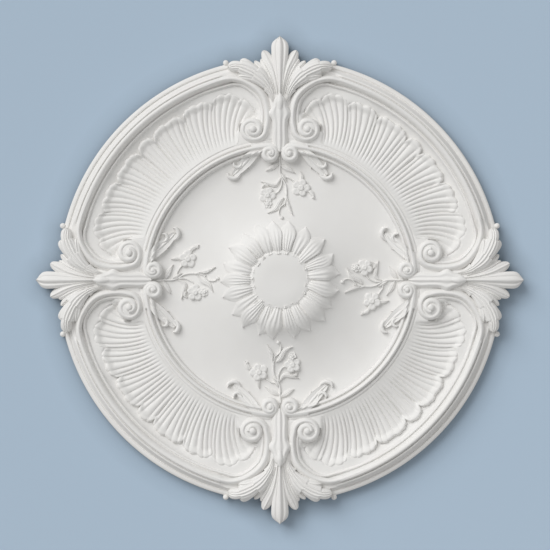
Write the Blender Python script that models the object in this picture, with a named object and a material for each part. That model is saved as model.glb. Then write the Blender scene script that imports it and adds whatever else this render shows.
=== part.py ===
# Ceiling rose: one round casting with a flat back, carved on the side that faces the room.
# It is drawn face up in the XY plane, as seen from below, and its mount turns it over about Y,
# so that the flat back lies at z = 0 and the carving hangs down.
# Angles are clockwise from +Y as drawn, in degrees, and lengths are in metres.

import math

import bmesh
import bpy
from mathutils import Vector

# Centre: the flat disc that a lamp's canopy covers, and the sunflower round it
DISC_RADIUS = 0.052
DISC_HEIGHT = 0.068
PETAL_COUNT = 21
PETAL_LENGTH = 0.070
PETAL_THICKNESS = 0.006

# Field: a shallow bell that falls from the petals and rises again to the inner ring
FIELD_HEIGHT = 0.0255
FIELD_DROP = 0.0185
FIELD_RISE = 0.0035
FIELD_RISE_WIDTH = 0.030

# Inner ring
RING_RADIUS = 0.267
RING_WIDTH = 0.034
RING_HEIGHT = 0.045

# Shell band between the ring and the rim
SHELL_FOOT_HEIGHT = 0.037
SHELL_HOLLOW_HEIGHT = 0.025
SHELL_EDGE_HEIGHT = 0.036
SHELL_EDGE_GAP = 0.006
SHELL_LOBE_DEPTH = 0.014
SHELL_COVER = 0.006
FLUTE_COUNT = 42
FLUTE_DEPTH = 0.0028

# Rim mouldings
RIM_RADIUS = 0.446
RIM_WIDTH = 0.050
RIM_HEIGHT = 0.046
RIM_COVE_HEIGHT = 0.026
RIM_EDGE_HEIGHT = 0.020

# Scrolls that leave the rim and curl in beside each axis
SCROLL_ANGLE = 17.0
SCROLL_WIDTH = 0.020
VOLUTE_RADIUS = 0.025
VOLUTE_OFFSET = 0.057
VOLUTE_TURNS = 1.4

# Small volutes that end the inner ring
CURL_RADIUS = 0.014
CURL_OFFSET = 0.0186
CURL_TURNS = 1.2

# Leaf finials, husks and rim knobs on the four axes
FINIAL_DEPTH = 0.078
FINIAL_LENGTH = 0.120
FINIAL_HEIGHT = 0.052
HUSK_HALF_WIDTH = 0.022
HUSK_HEIGHT = 0.052
KNOB_RADIUS = 0.008
KNOB_ANGLE = 14.4

# Leaves along the ring and the flower sprays in the field
RING_LEAF_LENGTH = 0.084
RING_LEAF_THICKNESS = 0.007
SPRAY_LENGTH = 0.110
SPRAY_THICKNESS = 0.006
FLOWER_RADIUS = 0.016
FLOWER_THICKNESS = 0.009

# Facets, and how far the pieces are sunk into one another or stand over before they are cut
BODY_STEPS = 96
GRAIN = 0.002
FACET_SHARE = 0.0094
BURIED = 0.010
BACK_SPARE = 0.006
DISC_SPARE = 0.0015

PAINT = (0.88, 0.88, 0.87, 1.0)

petal_reach = DISC_RADIUS + PETAL_LENGTH
ring_inner = RING_RADIUS - RING_WIDTH / 2
ring_outer = RING_RADIUS + RING_WIDTH / 2
band_outer = RIM_RADIUS - RIM_WIDTH
finial_root = RIM_RADIUS - FINIAL_DEPTH


def clear_scene():
    for old in list(bpy.data.objects):
        bpy.data.objects.remove(old, do_unlink=True)


def lerp(start, end, share):
    return start + (end - start) * share


def polar(angle, radius):
    turn = math.radians(angle)
    return Vector((radius * math.sin(turn), radius * math.cos(turn)))


def arc(start, end, rise, steps):
    """Profile points from start to end that bulge up by rise between them, without the start."""
    points = []
    for step in range(1, steps + 1):
        turn = math.pi * step / steps
        share = (1 - math.cos(turn)) / 2
        height = lerp(start[1], end[1], share) + rise * math.sin(turn)
        points.append((lerp(start[0], end[0], share), height))
    return points


def field_profile():
    """From the disc over the flower's mound and down the bell to the foot of the ring."""
    mound = petal_reach - DISC_RADIUS
    bell_top = FIELD_HEIGHT + FIELD_DROP
    disc_top = DISC_HEIGHT + DISC_SPARE
    points = [(0.0, disc_top), (DISC_RADIUS, disc_top)]
    points.append((DISC_RADIUS + 0.5 * mound, lerp(DISC_HEIGHT, bell_top, 0.3)))
    points.append((petal_reach, bell_top))
    bottom = ring_inner - FIELD_RISE_WIDTH
    for step in range(1, 6):
        share = step / 5
        height = FIELD_HEIGHT + FIELD_DROP * (1 - share) ** 2
        points.append((lerp(petal_reach, bottom, share), height))
    points.append((lerp(bottom, ring_inner, 0.6), FIELD_HEIGHT + 0.36 * FIELD_RISE))
    points.append((ring_inner, FIELD_HEIGHT + FIELD_RISE))
    return points


def ring_profile():
    """A fillet, a groove and the main roll, down to the foot of the shells."""
    foot = FIELD_HEIGHT + FIELD_RISE
    fillet = (ring_inner + 0.08 * RING_WIDTH, lerp(foot, RING_HEIGHT, 0.5))
    groove = (ring_inner + 0.40 * RING_WIDTH, lerp(foot, RING_HEIGHT, 0.45))
    heel = (ring_inner + 0.92 * RING_WIDTH, SHELL_FOOT_HEIGHT)
    bulge = RING_HEIGHT - lerp(groove[1], heel[1], 0.5)
    points = [fillet, (ring_inner + 0.30 * RING_WIDTH, fillet[1] + 0.001)]
    points.append(groove)
    points += arc(groove, heel, bulge, 6)
    points.append((ring_outer, SHELL_FOOT_HEIGHT - 0.001))
    return points


def rim_profile():
    """The floor under the shells, the cove, the bead, the broad roll and the outer moulding."""
    floor = SHELL_HOLLOW_HEIGHT - SHELL_COVER
    points = [(ring_outer + 0.003, floor)]
    points.append((band_outer - SHELL_EDGE_GAP - 1.5 * SHELL_LOBE_DEPTH, floor))
    cove_end = (band_outer + 0.16 * RIM_WIDTH, RIM_COVE_HEIGHT)
    bead_end = (band_outer + 0.28 * RIM_WIDTH, RIM_COVE_HEIGHT + 0.002)
    crest = (band_outer + 0.45 * RIM_WIDTH, RIM_HEIGHT)
    ovolo_end = (band_outer + 0.76 * RIM_WIDTH, RIM_EDGE_HEIGHT + 0.004)
    points.append(cove_end)
    points += arc(cove_end, bead_end, 0.004, 4)
    for step in range(5):
        turn = math.pi / 2 * step / 4
        radius = lerp(crest[0], ovolo_end[0], math.sin(turn))
        points.append((radius, lerp(ovolo_end[1], crest[1], math.cos(turn))))
    points.append((band_outer + 0.81 * RIM_WIDTH, RIM_EDGE_HEIGHT - 0.001))
    points.append((band_outer + 0.92 * RIM_WIDTH, RIM_EDGE_HEIGHT + 0.003))
    points.append((RIM_RADIUS, RIM_EDGE_HEIGHT - 0.002))
    return points


body_profile = field_profile() + ring_profile() + rim_profile()


def ground(point):
    """Height of the turned body under a point."""
    radius = point.length
    for inner, outer in zip(body_profile, body_profile[1:]):
        if radius <= outer[0]:
            share = (radius - inner[0]) / max(outer[0] - inner[0], 1e-6)
            return lerp(inner[1], outer[1], share)
    return body_profile[-1][1]


def object_from(bm, name):
    bmesh.ops.recalc_face_normals(bm, faces=bm.faces)
    if bm.calc_volume(signed=True) < 0:
        bmesh.ops.reverse_faces(bm, faces=bm.faces)
    mesh = bpy.data.meshes.new(name)
    bm.to_mesh(mesh)
    bm.free()
    made = bpy.data.objects.new(name, mesh)
    bpy.context.scene.collection.objects.link(made)
    return made


def patch(name, columns, rows, place, base):
    """A closed relief: a grid laid out by place(across, along), with walls straight down to base."""
    bm = bmesh.new()
    bmesh.ops.create_grid(bm, x_segments=columns, y_segments=rows, size=0.5)
    top = list(bm.verts)
    for vert in top:
        vert.co = place(vert.co.x + 0.5, vert.co.y + 0.5)
    bmesh.ops.remove_doubles(bm, verts=top, dist=1e-5)
    lower = bmesh.ops.extrude_face_region(bm, geom=list(bm.faces))
    for vert in lower["geom"]:
        if isinstance(vert, bmesh.types.BMVert):
            vert.co.z = base
    return object_from(bm, name)


def along(points, share):
    """Point at a share of a smooth curve through the points, and its direction there."""
    spans = len(points) - 1
    index = min(int(share * spans), spans - 1)
    local = share * spans - index
    before = points[max(index - 1, 0)]
    start, end = points[index], points[index + 1]
    after = points[min(index + 2, spans)]
    leave, arrive = (end - before) / 2, (after - start) / 2
    square, cube = local**2, local**3
    spot = (
        start * (2 * cube - 3 * square + 1)
        + leave * (cube - 2 * square + local)
        + end * (3 * square - 2 * cube)
        + arrive * (cube - square)
    )
    heading = (
        start * (6 * square - 6 * local)
        + leave * (3 * square - 4 * local + 1)
        + end * (6 * local - 6 * square)
        + arrive * (3 * square - 2 * local)
    )
    return spot, heading.normalized()


def read(values, share):
    """Value at a share of an evenly spaced list."""
    place = share * (len(values) - 1)
    index = min(int(place), len(values) - 2)
    return lerp(values[index], values[index + 1], place - index)


def blade(name, spine, half_widths, crests, edges, base, rows, columns=2):
    """A leaf, petal or ribbon: a ridge along its spine that falls to two edges."""

    def place(across, share):
        spot, heading = along(spine, share)
        offset = 2 * across - 1
        side = Vector((-heading.y, heading.x)) * offset * read(half_widths, share)
        crest, edge = read(crests, share), read(edges, share)
        return Vector((*(spot + side), lerp(crest, edge, abs(offset) ** 1.6)))

    return patch(name, columns, rows, place, base)


def riding_blade(name, spine, half_widths, thickness, rows, columns=2):
    """A blade laid on the turned body, as thick as it is told at its ridge and half that at its edges."""

    def place(across, share):
        spot, heading = along(spine, share)
        offset = 2 * across - 1
        point = spot + Vector((-heading.y, heading.x)) * offset * read(half_widths, share)
        rise = read(thickness, share) * (1 - 0.5 * abs(offset))
        return Vector((*point, ground(point) + rise))

    return patch(name, columns, rows, place, BURIED)


def mirrored(points, side):
    return [Vector((side * point[0], point[1])) for point in points]


def body():
    """The turned body, spun from its profile, a little deeper than its back."""
    bm = bmesh.new()
    corners = [Vector((radius, 0, height)) for radius, height in body_profile]
    corners.append(Vector((RIM_RADIUS, 0, -2 * BACK_SPARE)))
    corners.append(Vector((0, 0, -2 * BACK_SPARE)))
    verts = [bm.verts.new(corner) for corner in corners]
    edges = [bm.edges.new(pair) for pair in zip(verts, verts[1:])]
    bmesh.ops.spin(
        bm,
        geom=verts + edges,
        cent=(0, 0, 0),
        axis=(0, 0, 1),
        angle=2 * math.pi,
        steps=BODY_STEPS,
        use_merge=True,
    )
    bmesh.ops.remove_doubles(bm, verts=bm.verts, dist=1e-6)
    return object_from(bm, "ceiling_rose")


def petals():
    """Overlapping pointed petals, every one leaning a little its own way."""
    made = []
    inner, reach = DISC_RADIUS + 0.1 * PETAL_LENGTH, petal_reach
    for index in range(PETAL_COUNT):
        turn = 360 * (index + 0.6) / PETAL_COUNT
        lean = 2.5 * math.sin(2.4 * index)
        tip = reach - 0.04 * PETAL_LENGTH * (index % 3)
        lift = 0.0015 * (index % 2)
        half = 1.15 * math.pi * (inner + reach) / 2 / PETAL_COUNT
        spine = [polar(turn, inner), polar(turn + lean / 2, (inner + reach) / 2), polar(turn + lean, tip)]
        widths = [0.45 * half, 0.85 * half, half, 0.75 * half, 0.0]
        rises = [PETAL_THICKNESS * share + lift for share in (0.6, 1.0, 1.0, 0.9, 0.5)]
        made.append(riding_blade(f"petal_{index}", spine, widths, rises, 6))
    return made


def shell_edge(side):
    """Radius of the lobed edge at a share of the way from the end of a panel to its middle."""
    notches = (0.0, 0.04, 0.156, 0.377, 0.636, 0.779, 0.922, 1.078)
    index = max(i for i, notch in enumerate(notches[:-1]) if side >= notch)
    local = (side - notches[index]) / (notches[index + 1] - notches[index])
    near_end = max(0.0, 1 - side / 0.25)
    valley = band_outer - SHELL_EDGE_GAP - SHELL_LOBE_DEPTH - 1.1 * VOLUTE_RADIUS * 2 * near_end**2
    return valley + SHELL_LOBE_DEPTH * (1 - 0.6 * near_end) * math.sin(math.pi * local) ** 0.6


def shell_panel():
    """A quarter of the band: fluted shells that fan out from the ring to a lobed, upturned edge."""
    foot_span, edge_span = 30.5, 38.5
    tuck = 0.001
    foot = SHELL_FOOT_HEIGHT - 0.002

    def place(across, share):
        turn = 2 * across - 1
        side = 1 - abs(turn)
        near_end = max(0.0, 1 - side / 0.12)
        foot_radius = ring_outer - tuck + 1.6 * VOLUTE_RADIUS * near_end**2
        radius = lerp(foot_radius, shell_edge(side), share)
        angle = 45 + turn * lerp(foot_span, edge_span, share)
        dip = math.sin(math.pi * min(1.0, share * 0.8)) * (foot - SHELL_HOLLOW_HEIGHT)
        height = lerp(foot, SHELL_EDGE_HEIGHT, share**2) - dip
        ridge = math.cos(2 * math.pi * FLUTE_COUNT * across) * -0.5
        height += FLUTE_DEPTH * ridge * min(1.0, 4 * share)
        return Vector((*polar(angle, radius), height))

    return patch("shell_panel", 4 * FLUTE_COUNT, 10, place, BURIED)


def coil(centre, outer, inner, start, turns, side, steps):
    """Points of a spiral that winds in from its outer radius, clockwise for side 1 after mirroring."""
    points = []
    for step in range(steps + 1):
        share = step / steps
        turn = math.radians(start) + 2 * math.pi * turns * share
        radius = lerp(outer, inner, share**0.8)
        points.append(centre + Vector((side * math.cos(turn), math.sin(turn))) * radius)
    return points


def scroll(side):
    """The rim's roll leaving the circle beside an axis and curling into a large volute."""
    start = polar(SCROLL_ANGLE, RIM_RADIUS - 0.62 * RIM_WIDTH)
    heading = Vector((-math.cos(math.radians(SCROLL_ANGLE)), math.sin(math.radians(SCROLL_ANGLE))))
    centre_y = ring_outer + 0.7 * VOLUTE_RADIUS
    centre = Vector((VOLUTE_OFFSET, centre_y))
    outer = VOLUTE_RADIUS - 0.2 * SCROLL_WIDTH
    entry = centre + Vector((-outer, 0))
    drop = start.y - entry.y
    first, last = start + heading * 0.62 * drop, entry + Vector((0, 0.58 * drop))
    points = []
    for step in range(12):
        share = step / 12
        rest = 1 - share
        points.append(
            start * rest**3
            + first * (3 * rest**2 * share)
            + last * (3 * rest * share**2)
            + entry * share**3
        )
    points += coil(centre, outer, 0.14 * VOLUTE_RADIUS, 180, VOLUTE_TURNS, 1, 24)
    half = SCROLL_WIDTH / 2
    widths = [half, 0.9 * half, 0.7 * half, 0.5 * half, 0.42 * half, 0.4 * half, 0.35 * half, 0.3 * half]
    rises = [RIM_HEIGHT, RIM_HEIGHT, RIM_HEIGHT, 0.98 * RIM_HEIGHT, RIM_HEIGHT, 1.04 * RIM_HEIGHT]
    edges = [0.8 * rise for rise in rises]
    name = "scroll_right" if side > 0 else "scroll_left"
    return blade(name, mirrored(points, side), widths, rises, edges, BURIED, len(points) - 1)


def boss(name, centre, levels, sides):
    """A small turned boss: levels of radius and height above its sunk foot."""
    bm = bmesh.new()
    loops = []
    for radius, height in levels:
        made = bmesh.ops.create_circle(bm, segments=sides, radius=radius)["verts"]
        bmesh.ops.translate(bm, vec=(centre.x, centre.y, height), verts=made)
        loops.append([edge for edge in bm.edges if edge.verts[0] in made and edge.verts[1] in made])
    for lower, upper in zip(loops, loops[1:]):
        bmesh.ops.bridge_loops(bm, edges=lower + upper)
    bmesh.ops.holes_fill(bm, edges=loops[0] + loops[-1])
    return object_from(bm, name)


def curl(side):
    """The ring's roll turning in on itself beside an axis."""
    centre = Vector((CURL_OFFSET, ring_inner + 0.06 * RING_WIDTH))
    width = 0.2 * RING_WIDTH
    points = [polar(9.0, RING_RADIUS + 0.12 * RING_WIDTH), polar(6.6, RING_RADIUS + 0.16 * RING_WIDTH)]
    points += coil(centre, CURL_RADIUS - width / 2, 0.2 * CURL_RADIUS, 80, CURL_TURNS, 1, 16)
    widths = [0.9 * width, 0.7 * width, 0.6 * width, 0.55 * width, 0.5 * width]
    rises = [0.95 * RING_HEIGHT, RING_HEIGHT + 0.001, RING_HEIGHT + 0.003]
    edges = [0.84 * rise for rise in rises]
    name = "curl_right" if side > 0 else "curl_left"
    return blade(name, mirrored(points, side), widths, rises, edges, BURIED, len(points) - 1)


def finial_blade(name, spine, widths, crests, rows, side=1):
    """A lobe of the finial, in shares of its length from its root, standing on the back."""
    placed = [
        Vector((side * x * FINIAL_LENGTH, finial_root + y * FINIAL_LENGTH)) for x, y in spine
    ]
    half_widths = [width * FINIAL_LENGTH for width in widths]
    tops = [crest * FINIAL_HEIGHT for crest in crests]
    edges = [0.84 * top for top in tops]
    return blade(name, placed, half_widths, tops, edges, -BACK_SPARE, rows)


def finial():
    """The acanthus on an axis: a pointed lobe, its leaflets and a broad leaf on either side."""
    spine = [(0, -0.05), (0, 0.3), (0, 0.65), (0, 1.0)]
    widths = (0.02, 0.04, 0.075, 0.115, 0.142, 0.13, 0.0)
    made = [finial_blade("finial_lobe", spine, widths, (0.95, 1.0, 0.95, 0.85, 0.65), 12)]
    for side, word in ((1, "right"), (-1, "left")):
        inner = [(0.04, 0.0), (0.10, 0.3), (0.17, 0.55), (0.262, 0.745)]
        widths = (0.03, 0.06, 0.08, 0.065, 0.02)
        made.append(finial_blade(f"leaflet_{word}", inner, widths, (0.9, 0.88, 0.75, 0.6), 8, side))
        outer = [(0.06, 0.05), (0.17, 0.33), (0.34, 0.61)]
        widths = (0.02, 0.05, 0.05, 0.015)
        made.append(finial_blade(f"small_leaflet_{word}", outer, widths, (0.85, 0.8, 0.6), 6, side))
        third = [(0.10, 0.1), (0.24, 0.40), (0.43, 0.58)]
        made.append(finial_blade(f"third_leaflet_{word}", third, widths, (0.85, 0.85, 0.65), 6, side))
        broad = [(0.10, -0.10), (0.20, 0.14), (0.36, 0.36), (0.58, 0.47), (0.80, 0.47)]
        widths = (0.02, 0.07, 0.12, 0.15, 0.14, 0.09, 0.04)
        tops = (0.85, 1.0, 1.05, 1.0, 0.8)
        made.append(finial_blade(f"broad_leaf_{word}", broad, widths, tops, 10, side))
        under = [(0.36, 0.30), (0.50, 0.30), (0.68, 0.34)]
        widths = (0.03, 0.07, 0.06, 0.01)
        made.append(finial_blade(f"under_lobe_{word}", under, widths, (0.95, 0.95, 0.85), 5, side))
    return made


def husk():
    """The folded leaf between the volutes, from the ring out to the root of the finial."""
    foot = ring_inner + 0.6 * RING_WIDTH
    length = finial_root - foot
    spine = [Vector((0, foot + share * length)) for share in (0, 0.35, 0.7, 1.0)]
    half = HUSK_HALF_WIDTH
    widths = [0.5 * half, 0.5 * half, 0.6 * half, 0.8 * half, half, 0.75 * half, 0.5 * half, 0.0]
    tops = [0.86 * HUSK_HEIGHT, 0.9 * HUSK_HEIGHT, HUSK_HEIGHT, 1.04 * HUSK_HEIGHT, HUSK_HEIGHT]
    edges = [0.84 * top for top in tops]
    return [blade("husk", spine, widths, tops, edges, BURIED, 12)]


def knob(side):
    """The round end of the rim's outer moulding beside the finial."""
    centre = polar(KNOB_ANGLE * side, RIM_RADIUS + 0.25 * KNOB_RADIUS)
    top = RIM_EDGE_HEIGHT + 0.6 * KNOB_RADIUS
    levels = [(KNOB_RADIUS, -BACK_SPARE), (KNOB_RADIUS, RIM_EDGE_HEIGHT), (0.6 * KNOB_RADIUS, top)]
    return boss("knob_right" if side > 0 else "knob_left", centre, levels, 12)


def ring_leaf(side):
    """A leaf springing from the ring beside an axis and running along inside it, with two lobes."""
    span = math.degrees(RING_LEAF_LENGTH / ring_inner)
    start = 8.0

    def at(share, inward):
        return polar(side * (start + share * span), ring_inner + (0.05 - inward) * RING_WIDTH)

    word = "right" if side > 0 else "left"
    spine = [at(0.0, 0.0), at(0.3, 0.35), at(0.6, 0.55), at(0.85, 0.85), at(1.0, 1.15)]
    unit = RING_LEAF_LENGTH
    rises = [RING_LEAF_THICKNESS, RING_LEAF_THICKNESS, 0.7 * RING_LEAF_THICKNESS]
    widths = [0.02 * unit, 0.06 * unit, 0.08 * unit, 0.06 * unit, 0.02 * unit]
    made = [riding_blade(f"ring_leaf_{word}", spine, widths, rises, 8)]
    for index, (root, tip, inward) in enumerate(((0.15, 0.38, 1.1), (0.45, 0.70, 1.35))):
        lobe = [at(root, 0.2), at((root + tip) / 2, 0.7), at(tip, inward)]
        widths = [0.04 * unit, 0.06 * unit, 0.02 * unit]
        made.append(riding_blade(f"ring_lobe_{word}_{index}", lobe, widths, rises, 4))
    return made


def spray_point(across, down):
    """A place on a spray, in shares of its length down from the ring towards the flower."""
    return Vector((across * SPRAY_LENGTH, ring_inner - 0.10 * RING_WIDTH - down * SPRAY_LENGTH))


def spray():
    """A forked stem with leaves, two open flowers and a bud, the same way round on every axis."""
    made = []
    stems = (
        ("stem", [(0, 0), (0, 0.15), (0.04, 0.35), (0.13, 0.52), (0.11, 0.68), (0.02, 0.95)], 0.018),
        ("left_branch", [(0.02, 0.28), (-0.10, 0.42), (-0.20, 0.58)], 0.014),
        ("right_branch", [(0.03, 0.36), (0.20, 0.36), (0.34, 0.45)], 0.014),
    )
    for name, points, half in stems:
        spine = [spray_point(*point) for point in points]
        rises = [SPRAY_THICKNESS, 0.6 * SPRAY_THICKNESS]
        widths = [half * SPRAY_LENGTH] * 2
        rows = len(points) + 1
        made.append(riding_blade(f"spray_{name}", spine, widths, rises, 2 * rows))
    leaves = (
        [(0, 0.06), (-0.14, 0.08), (-0.28, 0.14)],
        [(0, 0.08), (0.14, 0.10), (0.27, 0.20)],
        [(0.01, 0.30), (-0.18, 0.26), (-0.34, 0.33)],
        [(0.36, 0.42), (0.50, 0.46), (0.62, 0.56)],
        [(0.11, 0.68), (0.02, 0.80), (-0.22, 0.96)],
        [(0.11, 0.68), (0.18, 0.84), (0.28, 1.02)],
        [(0.02, 0.86), (0.03, 0.96), (0.04, 1.04)],
    )
    for index, points in enumerate(leaves):
        spine = [spray_point(*point) for point in points]
        widths = [0.01 * SPRAY_LENGTH, 0.05 * SPRAY_LENGTH, 0.045 * SPRAY_LENGTH, 0.0]
        rises = [0.8 * SPRAY_THICKNESS, SPRAY_THICKNESS, 0.5 * SPRAY_THICKNESS]
        made.append(riding_blade(f"spray_leaf_{index}", spine, widths, rises, 5))
    for name, place in (("flower_left", (-0.22, 0.62)), ("flower_right", (0.35, 0.48))):
        made.append(flower(name, spray_point(*place)))
    return made


def flower(name, centre):
    """An open flower: a dished ring of five lobes round a raised button."""
    floor = ground(centre)
    levels = ((1.0, BURIED), (1.0, floor + 0.6 * FLOWER_THICKNESS), (0.3, floor + FLOWER_THICKNESS))
    rings = [(share * FLOWER_RADIUS, height) for share, height in levels]
    made = boss(name, centre, rings, 10)
    for vert in made.data.vertices:
        outward = vert.co.xy - centre
        if outward.length > 0.9 * FLOWER_RADIUS and vert.index % 2:
            vert.co.xy = centre + 0.78 * outward
    return made


def paint():
    """Primed white casting, matt."""
    made = bpy.data.materials.new("white_primer")
    made.use_nodes = True
    shader = made.node_tree.nodes["Principled BSDF"]
    shader.inputs["Base Color"].default_value = PAINT
    shader.inputs["Roughness"].default_value = 0.6
    shader.inputs["Metallic"].default_value = 0.0
    made.diffuse_color = PAINT
    return made


def place_copies(pieces, quarters, collection, mount):
    """Hidden pieces for a Boolean, each repeated at quarter turns."""
    for piece in pieces:
        bpy.context.scene.collection.objects.unlink(piece)
        for quarter in range(quarters):
            copy = piece if quarter == 0 else bpy.data.objects.new(f"{piece.name}_{quarter}", piece.data)
            collection.objects.link(copy)
            copy.parent = mount
            copy.rotation_euler.z = -math.pi / 2 * quarter
            copy.hide_render = True
            copy.display_type = "WIRE"


def rim_notch():
    """The rim's mouldings stop either side of a finial, so its leaves rise from a low floor."""
    span = KNOB_ANGLE - 2.2
    top = RIM_HEIGHT + BACK_SPARE

    def place(across, share):
        radius = lerp(band_outer + 0.002, RIM_RADIUS + BACK_SPARE, share)
        return Vector((*polar(span * (2 * across - 1), radius), top))

    return patch("rim_notch", 4, 1, place, RIM_EDGE_HEIGHT - 0.004)


def cutter(bm, name, mount):
    made = object_from(bm, name)
    made.parent = mount
    made.hide_render = True
    made.display_type = "WIRE"
    return made


def back_plane(mount):
    """Everything behind the ceiling plane is cut away in one go, so the back is flat."""
    bm = bmesh.new()
    bmesh.ops.create_cube(bm, size=1.0)
    width = 2.4 * (finial_root + FINIAL_LENGTH)
    depth = 4 * BACK_SPARE
    bmesh.ops.scale(bm, vec=(width, width, depth), verts=bm.verts)
    bmesh.ops.translate(bm, vec=(0, 0, -depth / 2), verts=bm.verts)
    return cutter(bm, "back_plane", mount)


def disc_face(mount):
    """The centre is faced flat, where the canopy of a lamp sits."""
    bm = bmesh.new()
    depth = 4 * DISC_SPARE
    bmesh.ops.create_cone(
        bm, cap_ends=True, segments=BODY_STEPS, radius1=DISC_RADIUS, radius2=DISC_RADIUS, depth=depth
    )
    bmesh.ops.translate(bm, vec=(0, 0, DISC_HEIGHT + depth / 2), verts=bm.verts)
    return cutter(bm, "disc_face", mount)


def add_boolean(rose, name, operation, operand, solver):
    made = rose.modifiers.new(name, "BOOLEAN")
    made.operation = operation
    made.solver = solver
    if isinstance(operand, bpy.types.Collection):
        made.operand_type = "COLLECTION"
        made.collection = operand
    else:
        made.object = operand


def cast(rose, carving, notches, mount):
    """Notch the rim, join the carving, then make one even skin of it in about ten thousand facets."""
    add_boolean(rose, "notches", "DIFFERENCE", notches, "MANIFOLD")
    add_boolean(rose, "carving", "UNION", carving, "MANIFOLD")
    skin = rose.modifiers.new("skin", "REMESH")
    skin.mode = "VOXEL"
    skin.voxel_size = GRAIN
    facets = rose.modifiers.new("facets", "DECIMATE")
    facets.ratio = FACET_SHARE
    add_boolean(rose, "disc_face", "DIFFERENCE", disc_face(mount), "EXACT")
    add_boolean(rose, "back_plane", "DIFFERENCE", back_plane(mount), "EXACT")


def main():
    clear_scene()
    mount = bpy.data.objects.new("ceiling_mount", None)
    mount.rotation_euler.y = math.pi
    scene_objects = bpy.context.scene.collection
    scene_objects.objects.link(mount)
    carving = bpy.data.collections.new("carving")
    notches = bpy.data.collections.new("notches")
    scene_objects.children.link(carving)
    scene_objects.children.link(notches)

    rose = body()
    rose.parent = mount
    rose.data.materials.append(paint())

    repeated = [shell_panel()] + finial() + husk() + spray()
    for side in (1, -1):
        repeated += [scroll(side), curl(side), knob(side)] + ring_leaf(side)
    place_copies(repeated, 4, carving, mount)
    place_copies(petals(), 1, carving, mount)
    place_copies([rim_notch()], 4, notches, mount)
    cast(rose, carving, notches, mount)


main()
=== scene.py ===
import math

import bmesh
import bpy
from mathutils import Matrix, Vector


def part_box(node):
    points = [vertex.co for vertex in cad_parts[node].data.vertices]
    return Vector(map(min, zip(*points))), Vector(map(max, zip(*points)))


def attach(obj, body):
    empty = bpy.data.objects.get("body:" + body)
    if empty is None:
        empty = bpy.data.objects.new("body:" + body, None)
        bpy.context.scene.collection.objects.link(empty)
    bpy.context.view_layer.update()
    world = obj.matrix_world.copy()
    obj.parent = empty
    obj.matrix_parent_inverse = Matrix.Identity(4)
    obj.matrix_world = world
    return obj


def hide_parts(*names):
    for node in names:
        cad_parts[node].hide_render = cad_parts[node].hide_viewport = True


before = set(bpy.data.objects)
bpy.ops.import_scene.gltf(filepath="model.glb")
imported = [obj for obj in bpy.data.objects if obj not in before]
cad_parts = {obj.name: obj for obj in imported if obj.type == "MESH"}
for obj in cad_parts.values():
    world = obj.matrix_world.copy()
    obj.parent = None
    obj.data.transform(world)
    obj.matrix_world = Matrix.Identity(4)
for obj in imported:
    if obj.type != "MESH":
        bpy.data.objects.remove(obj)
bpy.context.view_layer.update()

# The rose is drawn face up in millimetres, as it is seen from below, x to the right and y up.
# Its size comes from the frame: a finial's tip is 488 mm from the centre as drawn.
drawnReach = 488.0
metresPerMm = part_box("ceiling_rose")[1].x / drawnReach
faceDown = Matrix.Rotation(math.pi, 4, "Y") @ Matrix.Scale(metresPerMm, 4)
buried = 10.0       # height of the flat underside of a carving that sits in the body
backFace = 0.3      # the same for a carving that reaches past the rim, just short of the ceiling


def mix(start, end, share):
    # value at a share of the way from start to end
    return start + (end - start) * share


def polar(angle, radius):
    turn = math.radians(angle)    # clockwise from straight up, in degrees
    return Vector((radius * math.sin(turn), radius * math.cos(turn)))


def smooth(points, share):
    # value at a share of the way along a curve through evenly counted points
    spans = len(points) - 1
    index = min(int(share * spans), spans - 1)
    local = share * spans - index
    start, end = points[index], points[index + 1]
    leave = (end - points[max(index - 1, 0)]) / 2
    arrive = (points[min(index + 2, spans)] - start) / 2
    square, cube = local ** 2, local ** 3
    ends = start * (2 * cube - 3 * square + 1) + end * (3 * square - 2 * cube)
    return ends + leave * (cube - 2 * square + local) + arrive * (cube - square)


def bump(offset, width):
    # 1 at no offset, dying away smoothly on both sides
    return math.exp(-((offset / width) ** 2))


def ramp(value, low, high):
    # 0 below low and 1 above high, with a smooth rise between them
    share = min(1.0, max(0.0, (value - low) / (high - low)))
    return share * share * (3 - 2 * share)


def arc(start, end, rise, steps):
    # a rounded moulding of a profile, from a start point that is not repeated to an end point
    points = []
    for step in range(1, steps + 1):
        turn = math.pi * step / steps
        share = (1 - math.cos(turn)) / 2
        height = mix(start[1], end[1], share) + rise * math.sin(turn)
        points.append((mix(start[0], end[0], share), height))
    return points


def addShell(piece, bm):
    # turns a closed shell the right way out and adds it to a piece
    bmesh.ops.recalc_face_normals(bm, faces=bm.faces)
    if bm.calc_volume(signed=True) < 0:
        bmesh.ops.reverse_faces(bm, faces=bm.faces)
    scratch = bpy.data.meshes.new("scratch")
    bm.to_mesh(scratch)
    bm.free()
    piece.from_mesh(scratch)
    bpy.data.meshes.remove(scratch)


def relief(piece, columns, rows, place, base, strips="rows"):
    # a closed lump: a grid laid out by place(across -1..1, along 0..1), with walls down to a flat
    # underside that has a single strip for each row or column
    bm = bmesh.new()
    line = bm.verts.layers.int.new("line")
    top = bmesh.ops.create_grid(bm, x_segments=columns, y_segments=rows, size=0.5)["verts"]
    for vert in top:
        across, along = 2 * vert.co.x, vert.co.y + 0.5
        vert[line] = round(along * rows) if strips == "rows" else round((across + 1) / 2 * columns)
        vert.co = place(across, along)
    bmesh.ops.remove_doubles(bm, verts=bm.verts, dist=0.02)
    lower = set(bmesh.ops.extrude_face_region(bm, geom=list(bm.faces))["geom"])
    for item in lower:
        if isinstance(item, bmesh.types.BMVert):
            item.co.z = base
    inner = [edge for edge in bm.edges if edge in lower and lower.issuperset(edge.link_faces)]
    inner = [edge for edge in inner if edge.verts[0][line] != edge.verts[1][line]]
    bmesh.ops.dissolve_edges(bm, edges=inner, use_verts=True)
    bm.verts.layers.int.remove(line)
    addShell(piece, bm)


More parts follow.
